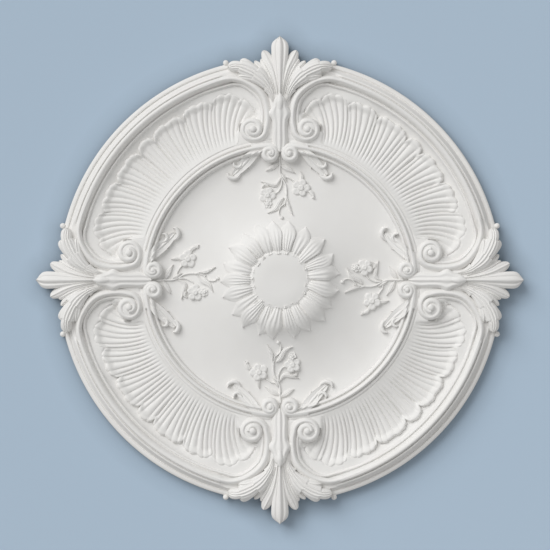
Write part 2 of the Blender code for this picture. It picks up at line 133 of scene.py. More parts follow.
def leaf(piece, spine, widths, tops, base=buried, rows=40, columns=16, riding=False, fall=4.0, power=2.2,
         rib=0.0, ribWidth=0.16, groove=0.0, veins=0, veinDepth=0.0, veinEnd=2.0, teeth=0, toothDepth=0.0,
         roundTip=0.0, lean=0.0, ridgeAt=(0.0, 0.0)):
    # a leaf, petal, stem or ribbon: tops along its ridge, falling to its edges; a riding one
    # follows the ground under it
    lines = []
    for row in range(rows + 1):
        share = row / rows
        spot = smooth(spine, share)
        heading = smooth(spine, min(1.0, share + 0.01)) - smooth(spine, max(0.0, share - 0.01))
        side = Vector((heading.y, -heading.x)).normalized()
        half = max(0.02, smooth(widths, share))
        if roundTip and share > 1 - roundTip:
            half *= math.sqrt(max(0.0, 1 - ((share - 1 + roundTip) / roundTip) ** 2))
        if teeth:
            half *= 1 - toothDepth * (1 - math.sin(math.pi / 2 * (share * teeth % 1.0)))
        drop = smooth(fall, share) if isinstance(fall, tuple) else fall
        curve = smooth(power, share) if isinstance(power, tuple) else power
        lines.append((spot, side, half, smooth(tops, share), drop, curve, smooth(ridgeAt, share)))

    def place(across, share):
        spot, side, half, top, drop, curve, ridge = lines[round(share * rows)]
        point = spot + side * half * across
        off = abs(across - ridge) / (1 - ridge if across > ridge else 1 + ridge)
        height = top - drop * off ** curve + lean * across
        # a rib along the middle with a groove on either side
        height += rib * bump(across, ribWidth) - groove * bump(off - 1.9 * ribWidth, 0.7 * ribWidth)
        if veins:
            depth = veinDepth * (1 - off ** 3) * (1 - ramp(share, 0.5 * veinEnd, veinEnd))
            height += depth * math.cos(2 * math.pi * veins * across)
        if riding:
            height += ground(point)
        return Vector((point.x, point.y, height))

    relief(piece, columns, rows, place, base)


def spiral(centre, radii, start, steps):
    # points of a coil whose radius is told at every quarter turn, from a start angle
    points = []
    quarters = len(radii) - 1
    for step in range(steps + 1):
        share = step / steps
        turn = math.radians(start + 90 * quarters * share)
        points.append(centre + Vector((math.cos(turn), math.sin(turn))) * smooth(radii, share))
    return points


def sided(points, side):
    # points as vectors, mirrored where side is -1
    return [Vector((side * point[0], point[1])) for point in points]


def dome(piece, centre, radius, foot, top, sides=24, flat=0.0, dimple=0.0):
    # a round boss with a rounded top, flattened or dimpled where that is told
    bm = bmesh.new()
    made = bmesh.ops.create_uvsphere(bm, u_segments=sides, v_segments=12, radius=radius)["verts"]
    for vert in made:
        if vert.co.z < 0:
            vert.co.z = foot
        else:
            dent = dimple * bump(vert.co.xy.length / radius, 0.45)
            vert.co.z = top - (1 - vert.co.z / radius) * radius * (1 - flat) - dent
        vert.co.x += centre.x
        vert.co.y += centre.y
    bmesh.ops.remove_doubles(bm, verts=bm.verts, dist=0.01)
    addShell(piece, bm)


def quarterTurns(bm):
    # repeats what is drawn in one quarter in the other three
    first = bm.verts[:] + bm.edges[:] + bm.faces[:]
    for quarter in range(1, 4):
        copied = bmesh.ops.duplicate(bm, geom=first)["geom"]
        verts = [item for item in copied if isinstance(item, bmesh.types.BMVert)]
        turn = Matrix.Rotation(-math.pi / 2 * quarter, 3, "Z")
        bmesh.ops.rotate(bm, cent=(0, 0, 0), matrix=turn, verts=verts)


def finishPiece(bm, name, finish, sharpAngle=40.0):
    # turns a drawn piece face down at its real size and hands it over
    bmesh.ops.transform(bm, matrix=faceDown, space=Matrix.Identity(4), verts=bm.verts)
    mesh = bpy.data.meshes.new(name)
    bm.to_mesh(mesh)
    bm.free()
    mesh.shade_smooth()
    mesh.set_sharp_from_angle(angle=math.radians(sharpAngle))
    mesh.materials.append(finish)
    piece = bpy.data.objects.new(name, mesh)
    bpy.context.scene.collection.objects.link(piece)
    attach(piece, "root")
    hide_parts("ceiling_rose")
    mesh.calc_loop_triangles()
    print(name, len(mesh.loop_triangles), "triangles")


# Materials: one finish for the casting here, and the paints beside the stage
def linear(hexColour):
    channels = [int(hexColour[place:place + 2], 16) / 255 for place in (1, 3, 5)]
    bent = [part / 12.92 if part <= 0.04045 else ((part + 0.055) / 1.055) ** 2.4 for part in channels]
    return (*bent, 1.0)


def addNode(tree, kind, settings=None, links=None):
    node = tree.nodes.new(kind)
    for key, value in (settings or {}).items():
        if isinstance(key, int) or key in node.inputs:
            node.inputs[key].default_value = value
        else:
            setattr(node, key, value)
    for key, source in (links or {}).items():
        tree.links.new(source, node.inputs[key])
    return node


def newMaterial(name):
    material = bpy.data.materials.new(name)
    material.use_nodes = True
    return material, material.node_tree, material.node_tree.nodes["Principled BSDF"]


primer = {
    "colour": "#EFEEEC", "shade": "#E9E7E4", "roughness": 0.62, "spread": 0.06, "specular": 0.35,
    "cloudMm": 60.0, "grainMm": 1.6, "grainDepthMm": 0.05, "peel": 0.35,
}


def primedCasting():
    # Sprayed matt primer on moulded polyurethane: chalky white, soft sheen, faint orange peel
    material, tree, shader = newMaterial("sprayedMattPrimer")
    place = addNode(tree, "ShaderNodeTexCoord").outputs["Object"]
    clouds = addNode(tree, "ShaderNodeTexNoise",
                     {"Scale": 1000 / primer["cloudMm"], "Detail": 3.0, "Roughness": 0.5}, {"Vector": place})
    tint = addNode(tree, "ShaderNodeMix", {"data_type": "RGBA", 6: linear(primer["colour"]),
                                           7: linear(primer["shade"])}, {0: clouds.outputs["Fac"]})
    grain = addNode(tree, "ShaderNodeTexNoise",
                    {"Scale": 1000 / primer["grainMm"], "Detail": 2.0, "Roughness": 0.55}, {"Vector": place})
    matt = addNode(tree, "ShaderNodeMapRange", {"To Min": primer["roughness"] - primer["spread"],
                                                "To Max": primer["roughness"] + primer["spread"]},
                   {0: grain.outputs["Fac"]})
    peel = addNode(tree, "ShaderNodeBump", {"Strength": primer["peel"],
                                            "Distance": primer["grainDepthMm"] / 1000},
                   {"Height": grain.outputs["Fac"]})
    tree.links.new(tint.outputs[2], shader.inputs["Base Color"])
    tree.links.new(matt.outputs[0], shader.inputs["Roughness"])
    tree.links.new(peel.outputs[0], shader.inputs["Normal"])
    shader.inputs["Specular IOR Level"].default_value = primer["specular"]
    return material


# The turned body: disc, flower mound, bell-shaped field, inner ring, shell floor and rim. Pairs are
# from and to: radii, offsets aside of the nearest axis, angles from it, or how far inside the
# shells' edge.
body = {
    "discRadius": 56.0, "discHeight": 68.0, "petalReach": 122.0,
    "moundSunk": 5.5, "bellTop": 44.0, "bellFoot": 25.5, "bellEnd": 220.0, "fieldRise": 3.5,
    "ringInner": 250.0, "ringOuter": 284.0, "ringCrest": 46.0, "groundReach": 262.0,
    "shellFloor": 19.0, "coveStart": 362.0, "coveEnd": 400.0, "coveRise": 10.0,
    "rimRadius": 445.0, "rimCrest": 46.0, "rimEdge": 20.0, "steps": 680,
    "curlRadii": (253, 283), "curlFloor": 34.0, "curlAside": (14.0, 26.0),
    "floorRadii": (283, 402), "floorFoot": 5, "raisedFloor": 37.0, "voluteReach": 96.0, "huskReach": 34.0,
    "reachRadii": (304.0, 345.0), "reachBlend": 14, "huskRise": 7.0, "huskAside": (10.0, 24.0),
    "huskRadii": (330.0, 350.0), "coveFloor": 29.0, "coveAngles": (20.0, 32.0), "edgeBlend": (9.0, 2.0),
    "rimStart": 398, "notchAngle": 12.2, "notchBlend": 0.5, "notchFloor": 16.0, "notchTop": 34.0,
    "notchFall": (424.0, 440.0), "notchRadius": 425.0, "drawnIn": 0.2,
    "beadRadius": 407.0, "beadFloor": 29.0, "beadAngles": (16.0, 20.0),
    "rollRadius": 435, "rollFloor": 33.0, "rollAngles": (15.0, 17.0),
}
# Height of the flower's petals above the rose's back, from the disc's edge out to the tips
petalFall = (67.0, 69.5, 70.8, 71.0, 70.5, 69.1, 66.9, 63.6, 59.4, 54.6, 51.2, 48.6, 46.6)
petalEnd = 128.0


def petalTop(radius):
    start = body["discRadius"]
    share = min(1.0, max(0.0, (radius - start) / (petalEnd - start)))
    return smooth(petalFall, share)


def discProfile():
    # the flat disc with its eased edge, then the mound under the petals
    radius, height = body["discRadius"], body["discHeight"]
    points = [(0.0, height), (radius * 0.5, height), (radius - 1.2, height), (radius, height - 0.5)]
    points += [(radius + 1.2, height - 1.6), (radius + 2.6, height - 2.0)]
    mound = body["petalReach"] - 12
    for step in range(9):
        place = mix(radius + 5, mound, step / 8)
        points.append((place, petalTop(place) - body["moundSunk"]))
    return points


def fieldProfile():
    # the bell's hollow fall, then the field's slight rise to the ring
    points = []
    top, foot = body["bellTop"], body["bellFoot"]
    for step in range(1, 15):
        share = step / 14
        points.append((mix(body["petalReach"], body["bellEnd"], share), mix(foot, top, (1 - share) ** 2)))
    for step in range(1, 5):
        share = step / 4
        height = foot + body["fieldRise"] * share ** 2
        points.append((mix(body["bellEnd"], body["ringInner"], share), height))
    return points


def ringProfile():
    # fillet, bead, groove, roll, groove, outer bead and step
    inner, crest = body["ringInner"], body["ringCrest"]
    foot = body["bellFoot"] + body["fieldRise"]
    points = [(inner + 3.4, foot + 0.4), (inner + 4.2, foot + 3.5)]
    points += arc((inner + 4.8, foot + 5.0), (inner + 10.4, foot + 6.5), 3.4, 8)
    points += [(inner + 11.2, foot + 5.2), (inner + 12.4, foot + 5.4)]
    points += arc((inner + 12.8, foot + 6.5), (inner + 21.6, foot + 9.5), crest - foot - 8.0, 14)
    points += [(inner + 22.2, foot + 7.4), (inner + 23.2, foot + 7.4)]
    points += arc((inner + 23.6, foot + 7.8), (inner + 29.6, foot + 7.4), 2.4, 6)
    points += [(body["ringOuter"] - 1, foot + 6.4), (body["ringOuter"], foot + 6.0)]
    return points


def rimProfile():
    # shell floor, cove, bead, groove, roll, groove, fillet, fall, outer band, edge and back
    radius, crest, edge = body["rimRadius"], body["rimCrest"], body["rimEdge"]
    floor = body["shellFloor"]
    points = [(body["ringOuter"] + 3, floor)] + [(float(place), floor) for place in range(298, 364, 8)]
    for step in range(1, 11):
        share = step / 10
        place = mix(body["coveStart"], body["coveEnd"], share)
        points.append((place, floor + body["coveRise"] * share ** 3))
    points += arc((400.5, 30.0), (405.6, 31.0), 3.2, 8)
    points += [(406.4, 30.6), (407.6, 31.8)]
    points += arc((408.2, 33.5), (420.6, 39.0), crest - 38.0, 12)
    points += [(421.4, 35.2), (422.6, 35.0)]
    points += arc((423.0, 37.0), (427.2, 35.4), 1.4, 6)
    for step in range(1, 9):
        share = step / 8
        fall = (crest - edge - 13.6) * (1 - share) ** 1.25
        points.append((mix(427.2, 433.8, share), edge + 3.0 + fall))
    points += [(434.4, edge + 1.2), (435.6, edge + 1.0)]
    points += arc((436.0, edge + 2.2), (444.4, edge + 0.4), 2.0, 8)
    points += [(radius - 0.6, edge - 0.7), (radius, edge - 1.6)]
    points += [(radius, edge * 0.5), (radius, 1.2), (radius - 1.2, 0.0), (radius * 0.5, 0.0), (0.0, 0.0)]
    return points


bodyProfile = discProfile() + fieldProfile() + ringProfile() + rimProfile()
fieldLine = [point for point in bodyProfile if point[0] < body["groundReach"] and point[1] > 1]


def ground(point):
    # height of the disc, mound and field under a point, and of the ring's inner side
    radius = point.length
    for inner, outer in zip(fieldLine, fieldLine[1:]):
        if radius <= outer[0]:
            return mix(inner[1], outer[1], (radius - inner[0]) / max(outer[0] - inner[0], 0.01))
    return fieldLine[-1][1]


def sinkRing(vert, radius, aside):
    # the ring's mouldings sink under the small volutes
    inner, outer = body["curlRadii"]
    if inner < radius < outer and vert.co.z > body["curlFloor"]:
        vert.co.z = mix(body["curlFloor"], vert.co.z, ramp(aside, *body["curlAside"]))


def raiseFloor(vert, radius, fromAxis, aside):
    # the floor comes up round the volutes and husks, so that no hole is left between them, and
    # the cove comes up to the shells' edge
    inner, outer = body["floorRadii"]
    if not inner < radius < outer or vert.co.z <= body["floorFoot"]:
        return
    reach = mix(body["voluteReach"], body["huskReach"], ramp(radius, *body["reachRadii"]))
    nearHusk = (1 - ramp(aside, *body["huskAside"])) * ramp(radius, *body["huskRadii"])
    raised = body["raisedFloor"] + body["huskRise"] * nearHusk
    vert.co.z = max(vert.co.z, mix(raised, vert.co.z, ramp(aside, reach - body["reachBlend"], reach)))
    edge = shellEdge(max(0.0, 1 - (45 - fromAxis) / shells["edgeSpan"]))
    far, near = body["edgeBlend"]
    cove = mix(body["coveFloor"], vert.co.z, ramp(fromAxis, *body["coveAngles"]))
    vert.co.z = max(vert.co.z, mix(vert.co.z, cove, ramp(radius, edge - far, edge - near)))


def cutNotch(vert, radius, fromAxis):
    # the rim's mouldings stop either side of a finial, where its leaves rise from a low floor
    if radius < body["rimStart"]:
        return
    side, blend, back = body["notchAngle"], body["notchBlend"], body["notchRadius"]
    if vert.co.z > body["notchFloor"]:
        floor = mix(body["notchTop"], body["notchFloor"], ramp(radius, *body["notchFall"]))
        vert.co.z = mix(floor, vert.co.z, ramp(fromAxis, side, side + blend))
        if radius < body["beadRadius"] and vert.co.z > body["beadFloor"]:
            vert.co.z = mix(body["beadFloor"], vert.co.z, ramp(fromAxis, *body["beadAngles"]))
        if radius < body["rollRadius"]:
            sunk = mix(body["rollFloor"], vert.co.z, ramp(fromAxis, *body["rollAngles"]))
            vert.co.z = min(vert.co.z, sunk)
    if radius > back and fromAxis < side:
        kept = back + body["drawnIn"] * (radius - back)
        vert.co.xy *= mix(kept / radius, 1.0, ramp(fromAxis, side - blend, side))


def makeBody(finish):
    bm = bmesh.new()
    corners = [bm.verts.new((radius, 0, height)) for radius, height in bodyProfile]
    edges = [bm.edges.new(pair) for pair in zip(corners, corners[1:])]
    bmesh.ops.spin(bm, geom=corners + edges, cent=(0, 0, 0), axis=(0, 0, 1), angle=2 * math.pi,
                   steps=body["steps"], use_merge=True)
    bmesh.ops.remove_doubles(bm, verts=bm.verts, dist=0.02)
    for vert in bm.verts:
        radius = vert.co.xy.length
        around = math.degrees(math.atan2(vert.co.x, vert.co.y))
        fromAxis = abs((around + 45) % 90 - 45)
        aside = radius * math.sin(math.radians(fromAxis))
        sinkRing(vert, radius, aside)
        raiseFloor(vert, radius, fromAxis, aside)
        cutNotch(vert, radius, fromAxis)
    piece = bmesh.new()
    addShell(piece, bm)
    finishPiece(piece, "roseBody", finish, 50.0)


# Fluted shells, four panels that fan out from the ring to a lobed, upturned edge
shells = {
    "flutes": 20.5, "middleFlute": 0.029, "fluteDepth": 4.0, "scallop": 2.2, "columns": 440, "rows": 44,
    "fluteStart": (0.02, 0.25), "fluteEnd": (0.9, 0.97), "fluteEnding": 0.7,
    "footSpan": 30.5, "edgeSpan": 38.5, "footHeight": 37.0, "hollow": 25.0, "edgeHeight": 34.5,
    "lobeDepth": 15.0, "edgeRadius": 391.0, "fold": 5.0, "foldStart": (0.4, 0.9), "fan": 2.6,
    "lip": 4.2, "lipRise": (0.84, 0.95), "lipFall": (0.965, 1.0), "lipDrop": 1.1,
    "notches": (0.0, 0.04, 0.156, 0.377, 0.636, 0.922, 1.078), "dip": 0.22, "dippedWidth": 0.2,
    "endWidth": 0.25, "endDrop": 55.0, "endDepth": 0.6, "footEnd": 0.12, "footDrop": 40.0,
}


def lobe(side):
    # how far across a lobe of the shells' edge, 0..1, and the lobe's width, both from the panel's
    # end (side 0) to its middle (side 1)
    notches = shells["notches"]
    index = max(number for number, notch in enumerate(notches[:-1]) if side >= notch)
    width = notches[index + 1] - notches[index]
    return (side - notches[index]) / width, width


def lobeCrown(side):
    # how far the shells' edge stands out on its lobe, 0..1, with a dip on the wide ones
    across, width = lobe(side)
    crown = math.sin(math.pi * across) ** 0.6
    if width > shells["dippedWidth"]:
        crown -= shells["dip"] * bump(across - 0.45, 0.09)
    return crown


def shellEdge(side):
    # radius of the shells' edge, which draws in towards a panel's end
    nearEnd = max(0.0, 1 - side / shells["endWidth"])
    valley = shells["edgeRadius"] - shells["lobeDepth"] - shells["endDrop"] * nearEnd ** 2
    return valley + shells["lobeDepth"] * (1 - shells["endDepth"] * nearEnd) * lobeCrown(side)


def makeShells(finish):
    piece = bmesh.new()
    half = shells["middleFlute"]

    def place(across, share):
        turn = abs(across)
        side = 1 - turn
        crown = lobeCrown(side)
        edge = shellEdge(side)
        foot = body["ringOuter"] - 1 + shells["footDrop"] * max(0.0, 1 - side / shells["footEnd"]) ** 2
        out = share ** 0.8
        # the panel widens outwards, and the flutes of each lobe bend towards its notches
        spread = turn * mix(shells["footSpan"], shells["edgeSpan"], out ** 1.7)
        within, width = lobe(side)
        spread += shells["fan"] * width * math.sin(2 * math.pi * within) * out ** 2 * ramp(side, 0.0, 0.2)
        angle = 45 + math.copysign(spread, across)
        # a hollow from foot to edge, fluted, with an upturned lip that folds down at the notches
        height = mix(shells["footHeight"], shells["edgeHeight"], out ** 2.2)
        height -= math.sin(math.pi * min(1.0, out * 0.8)) * (shells["footHeight"] - shells["hollow"])
        phase = 0.5 * turn / half if turn < half else 0.5 + (turn - half) / (1 - half) * shells["flutes"]
        ridge = abs(math.cos(math.pi * phase)) ** 0.5 - 0.7
        edge += shells["scallop"] * ridge
        ending = 1 - shells["fluteEnding"] * ramp(out, *shells["fluteEnd"])
        height += shells["fluteDepth"] * ridge * ramp(out, *shells["fluteStart"]) * ending
        height += shells["fold"] * (crown - 1) * ramp(out, *shells["foldStart"])
        lip = ramp(out, *shells["lipRise"]) - shells["lipDrop"] * ramp(out, *shells["lipFall"])
        height += shells["lip"] * lip
        return Vector((*polar(angle, mix(foot, edge, out)), height))

    relief(piece, shells["columns"], shells["rows"], place, buried, strips="columns")
    quarterTurns(piece)
    finishPiece(piece, "flutedShells", finish, 55.0)


# C-scrolls: the rim's roll leaves the circle and curls in to a volute beside each axis
scroll = {
    "spine": ((121.6, 397.5), (99.0, 402.0), (77.0, 398.6), (61.0, 391.4), (47.0, 382.0),
              (37.0, 372.0), (30.4, 361.0), (26.0, 347.0), (24.0, 330.0), (24.2, 314.0)),
    "eye": (54.4, 300.5), "radii": (27.4, 20.8, 19.8, 16.5, 13.0, 10.0, 8.0),
    "halfWidths": (5.5, 7.0, 8.5, 8.0, 7.4, 6.8, 6.2, 6.0, 6.4, 6.8, 7.0, 6.6, 5.6, 4.6, 4.0),
    "tops": (44.5, 46.2, 46.6, 46.6, 46.0, 45.0, 44.5, 45.5, 47.0, 48.0, 49.0, 50.0),
    "fall": (10.0, 11.0, 11.0, 9.5, 8.0, 6.5, 5.0, 4.5), "power": (2.0, 2.0, 2.2, 2.2, 2.2),
    "ridgeAt": (-0.1, -0.2, -0.2, -0.1, 0.0, 0.0, 0.0),
    "beadSpine": ((110, 386.4), (92.4, 390.8), (74.4, 388.2), (56.6, 376.8), (42.6, 362.0),
                  (36.6, 346.0), (34.6, 330.0), (35.4, 314.0), (38.0, 300.0), (43.0, 289.0)),
    "beadWidths": (3.4, 3.4, 3.4, 3.6, 4.2, 4.2, 3.8, 3.4), "beadTops": (32.8, 34.5, 36, 38, 39, 40, 41),
    "onRoll": ((25.0, 415.0), (21.0, 415.2)), "onBead": ((30.0, 403.0), (24.0, 403.0), (19.0, 402.4)),
    "foot": 30.0, "padRadius": 19.0, "padTop": 44.5, "buttonRadius": 6.6, "buttonTop": 52.0,
}


def makeScrolls(finish):
    piece = bmesh.new()
    eye = scroll["eye"]
    for side in (1, -1):
        points = [polar(*place) for place in scroll["onRoll"]] + sided(scroll["spine"], 1)
        points += spiral(Vector(eye), scroll["radii"], 180, 36)
        ridge = tuple(side * share for share in scroll["ridgeAt"])
        leaf(piece, sided(points, side), scroll["halfWidths"], scroll["tops"], rows=240, columns=20,
             fall=scroll["fall"], power=scroll["power"], ridgeAt=ridge)
        bead = [polar(*place) for place in scroll["onBead"]] + sided(scroll["beadSpine"], 1)
        leaf(piece, sided(bead, side), scroll["beadWidths"], scroll["beadTops"], rows=110, columns=12,
             fall=5.0, power=1.8)
        middle = Vector((side * eye[0], eye[1]))
        dome(piece, middle, scroll["padRadius"], scroll["foot"], scroll["padTop"], sides=32, flat=0.8)
        dome(piece, middle, scroll["buttonRadius"], scroll["foot"], scroll["buttonTop"], flat=0.3)
    quarterTurns(piece)
    finishPiece(piece, "cScrolls", finish)


# Small volutes where the ring's roll turns in on itself beside an axis
curl = {
    "eye": (19.4, 253.0), "radii": (13.6, 11.0, 12.4, 12.0, 8.6, 6.0, 4.6),
    "halfWidths": (7.4, 7.0, 6.2, 6.2, 6.2, 5.6, 4.6, 3.6),
    "tops": (45.5, 46.0, 47.5, 48.5, 49.5, 50.5), "onRoll": ((12.0, 268.6), (9.0, 269.0), (6.3, 268.6)),
    "foot": 25.0, "padRadius": 11.0, "padTop": 46.0, "buttonRadius": 4.8, "buttonTop": 51.5,
}


def makeCurls(finish):
    piece = bmesh.new()
    for side in (1, -1):
        points = [polar(*place) for place in curl["onRoll"]]
        points += spiral(Vector(curl["eye"]), curl["radii"], 85, 24)
        leaf(piece, sided(points, side), curl["halfWidths"], curl["tops"], rows=130, columns=16,
             fall=(8.0, 7.0, 6.0, 5.0), power=2.2)
        middle = Vector((side * curl["eye"][0], curl["eye"][1]))
        dome(piece, middle, curl["padRadius"], curl["foot"], curl["padTop"], flat=0.8)
        dome(piece, middle, curl["buttonRadius"], curl["foot"], curl["buttonTop"], flat=0.3)
    quarterTurns(piece)
    finishPiece(piece, "ringVolutes", finish)


# Acanthus finials on the four axes: a middle lobe, and leaves that are told for one side and
# mirrored. Their tops are shares of the crest's height.
finial = {
    "crest": 52.0,
    "middle": {
        "spine": ((0, 352), (0, 385), (0, 420), (0, 455), (0, 488)),
        "widths": (2.5, 4.0, 6.5, 9.5, 12.2, 15.0, 17.0, 15.4, 0.0),
        "tops": (0.96, 1.0, 0.97, 0.92, 0.84, 0.66),
        "rows": 70, "columns": 36, "fall": 9.0, "power": 2.4, "rib": 1.6, "ribWidth": 0.22, "groove": 3.0,
    },
    "leaves": (
        {"spine": ((4, 362), (8, 392), (15, 420), (24, 440), (33.5, 459)),
         "widths": (2.0, 5.0, 9.0, 10.5, 7.0), "tops": (0.92, 0.93, 0.86, 0.76, 0.62),
         "fall": 7.0, "rib": 1.2, "groove": 1.4, "roundTip": 0.16, "lean": 1.0},
        {"spine": ((10, 372), (17, 400), (28, 424), (38, 442)),
         "widths": (2.0, 4.5, 6.5, 4.5), "tops": (0.9, 0.86, 0.78, 0.62),
         "fall": 6.0, "rib": 1.0, "groove": 1.2, "roundTip": 0.2},
        {"spine": ((14, 380), (22, 402), (36, 422), (51, 438)),
         "widths": (2.0, 4.5, 6.5, 4.5), "tops": (0.9, 0.88, 0.78, 0.62),
         "fall": 6.0, "rib": 1.0, "groove": 1.2, "roundTip": 0.2},
        {"spine": ((30, 396), (48, 418), (68, 432), (80, 438)),
         "widths": (4.0, 7.0, 9.0, 7.0), "tops": (0.9, 0.92, 0.86, 0.72),
         "fall": 7.0, "veins": 1.5, "veinDepth": 0.9, "roundTip": 0.25},
        {"spine": ((12, 350), (20, 378), (38, 402), (62, 418), (86, 426), (104, 424)),
         "widths": (3, 7, 13, 17, 17.5, 15, 12, 8), "tops": (0.86, 0.95, 1.02, 1.02, 0.96, 0.8),
         "rows": 80, "columns": 30, "fall": 9.0, "power": 2.6, "veins": 2.5, "veinDepth": 1.1,
         "teeth": 4, "toothDepth": 0.26, "roundTip": 0.12},
        {"spine": ((38, 392), (54, 402), (72, 406), (84, 405)),
         "widths": (3.0, 7.0, 9.0, 8.0, 6.0), "tops": (0.9, 0.94, 0.94, 0.9, 0.78),
         "fall": 7.0, "veins": 1.5, "veinDepth": 1.0, "roundTip": 0.45},
    ),
    "beadAt": (14.0, 448.0), "beadRadius": 5.6, "beadTop": 27.0,
}


def finialLeaf(piece, shape, side):
    look = dict(shape)
    spine = sided(look.pop("spine"), side)
    widths = look.pop("widths")
    tops = [share * finial["crest"] for share in look.pop("tops")]
    look["lean"] = side * look.get("lean", 0.0)
    leaf(piece, spine, widths, tops, base=backFace, **look)


def makeFinials(finish):
    piece = bmesh.new()
    finialLeaf(piece, finial["middle"], 1)
    angle, radius = finial["beadAt"]
    for side in (1, -1):
        for shape in finial["leaves"]:
            finialLeaf(piece, shape, side)
        dome(piece, polar(angle * side, radius), finial["beadRadius"], backFace, finial["beadTop"])
    quarterTurns(piece)
    finishPiece(piece, "acanthusFinials", finish)


# Husks: the folded leaf between the volutes, and the knob at its head
husk = {
    "spine": ((0, 256), (0, 294), (0, 332), (0, 370)),
    "halfWidths": (4.0, 13.0, 16.0, 15.2, 14.8, 16.5, 23.0, 15.5, 11.5, 4.0),
    "tops": (42.0, 45.0, 48.5, 51.0, 53.0, 53.0),
    "knobSpine": ((0, 340), (0, 356), (0, 372)), "knobWidths": (5.0, 7.5, 5.0),
    "knobTops": (55.0, 58.0, 53.0),
}


def makeHusks(finish):
    piece = bmesh.new()
    leaf(piece, sided(husk["spine"], 1), husk["halfWidths"], husk["tops"], rows=80, columns=40,
         fall=8.0, power=3.4, rib=0.4, ribWidth=0.2, veins=1.5, veinDepth=1.2, roundTip=0.1)
    leaf(piece, sided(husk["knobSpine"], 1), husk["knobWidths"], husk["knobTops"], rows=30, fall=6.0,
         roundTip=0.35)
    quarterTurns(piece)
    finishPiece(piece, "husks", finish)


# Leaves along the inside of the ring, each ending in two small curls
ringLeaf = {
    "spine": ((28, 264), (44, 257), (58, 246), (70, 233), (82, 220), (94, 209)),
    "halfWidths": (2.0, 5.0, 9.5, 11.0, 10.0, 7.5, 4.5),
    "tip": ((42, 258), (52, 249), (59, 237), (62.6, 222)),
    "curl": ((76, 238), (77.5, 229), (84, 224.5), (91, 228), (92, 236)),
    "crescent": ((79, 213), (84.5, 206), (93, 203), (102, 206.5), (104.5, 214.5)),
    "tipWidths": (2.0, 4.5, 4.6, 0.3), "curlWidths": (1.2, 2.6, 3.4, 3.0, 1.2),
    "crescentWidths": (1.6, 3.2, 4.2, 3.8, 1.6), "rise": 7.4,
}


def makeRingLeaves(finish):
    piece = bmesh.new()
    rise = ringLeaf["rise"]
    for side in (1, -1):
        leaf(piece, sided(ringLeaf["spine"], side), ringLeaf["halfWidths"],
             (rise, rise, 0.9 * rise, 0.7 * rise), riding=True, rows=50, columns=24, fall=-1.4, power=3.0,
             rib=1.4, groove=0.8, roundTip=0.1)
        leaf(piece, sided(ringLeaf["tip"], side), ringLeaf["tipWidths"], (rise, rise, 0.9 * rise, 0.6 * rise),
             riding=True, rows=30, columns=14, fall=3.0, rib=0.8, lean=1.0)
        for name in ("curl", "crescent"):
            leaf(piece, sided(ringLeaf[name], side), ringLeaf[name + "Widths"],
                 (0.9 * rise, 1.3 * rise, 1.4 * rise, 1.3 * rise), riding=True, rows=36, columns=14,
                 fall=3.4, roundTip=0.2)
    quarterTurns(piece)
    finishPiece(piece, "ringLeaves", finish)


# Sprays: a forked stem with leaves, two open flowers and buds, the same way round on every axis
spray = {
    "stems": (
        (((-1, 246), (0, 230), (0, 216), (4, 204), (12, 188), (13, 168), (9, 148)), (2.0, 2.0, 1.9, 1.5)),
        (((3, 202), (3, 190), (-4, 176), (-14, 172)), (1.7, 1.6, 1.2)),
        (((4, 206), (18, 204), (34, 192)), (1.4, 1.4, 1.1)),
        (((9, 152), (0, 144), (-2, 132), (3, 125)), (1.4, 1.3, 1.1)),
        (((12, 170), (16, 158), (18, 146)), (1.3, 1.2, 1.0)),
        (((48, 182), (58, 176), (64, 168)), (1.3, 1.2, 0.9)),
    ),
    "leaves": (
        (((-1, 234), (-10, 228), (-20, 222), (-28, 218)), 4.2),
        (((2, 230), (10, 226), (20, 221), (31, 213)), 4.6),
        (((2, 204), (-8, 190), (-22, 192), (-39, 197)), 3.8),
        (((3, 214), (8, 206), (14, 196)), 2.6),
        (((8, 164), (0, 156), (-9, 141), (-25, 133)), 4.6),
        (((14, 160), (18, 146), (26, 128)), 3.4),
        (((42, 196), (43, 206), (41, 218)), 3.4),
        (((58, 180), (64, 174), (70, 161)), 3.6),
        (((-22, 186), (-30, 190), (-36, 184)), 3.0),
    ),
    "flowers": ((-25, 169, 16.5, 20), (42, 184, 18.0, 18), (-24.5, 151, 8.5, 0)),
    "buds": ((3.5, 124, 3.6), (66, 165, 2.6), (19, 143, 2.6)),
    "rise": 5.0, "flowerRise": 8.0, "usualFlower": 16.0, "flowerSides": 20, "budSides": 16,
    "petals": 5, "petalSize": 0.43, "petalPlace": 0.58, "petalSunk": 1.2, "petalDimple": 1.8,
    "buttonSize": 0.33, "buttonRise": 1.2, "buttonDimple": 1.6,
}


def makeFlower(piece, centre, radius, turned):
    # round cupped petals, each a little different, about a raised button with a dimple
    top = ground(centre) + spray["flowerRise"] * math.sqrt(radius / spray["usualFlower"])
    sides = spray["flowerSides"]
    for index in range(spray["petals"]):
        size = radius * (spray["petalSize"] + 0.05 * math.sin(2.4 * index))
        middle = centre + polar(turned + 360 * index / spray["petals"], spray["petalPlace"] * radius)
        petalHeight = top - spray["petalSunk"] + 0.4 * math.cos(3 * index)
        dome(piece, middle, size, buried, petalHeight, sides, flat=0.5, dimple=spray["petalDimple"])
    dome(piece, centre, spray["buttonSize"] * radius, buried, top + spray["buttonRise"], sides,
         flat=0.4, dimple=spray["buttonDimple"])


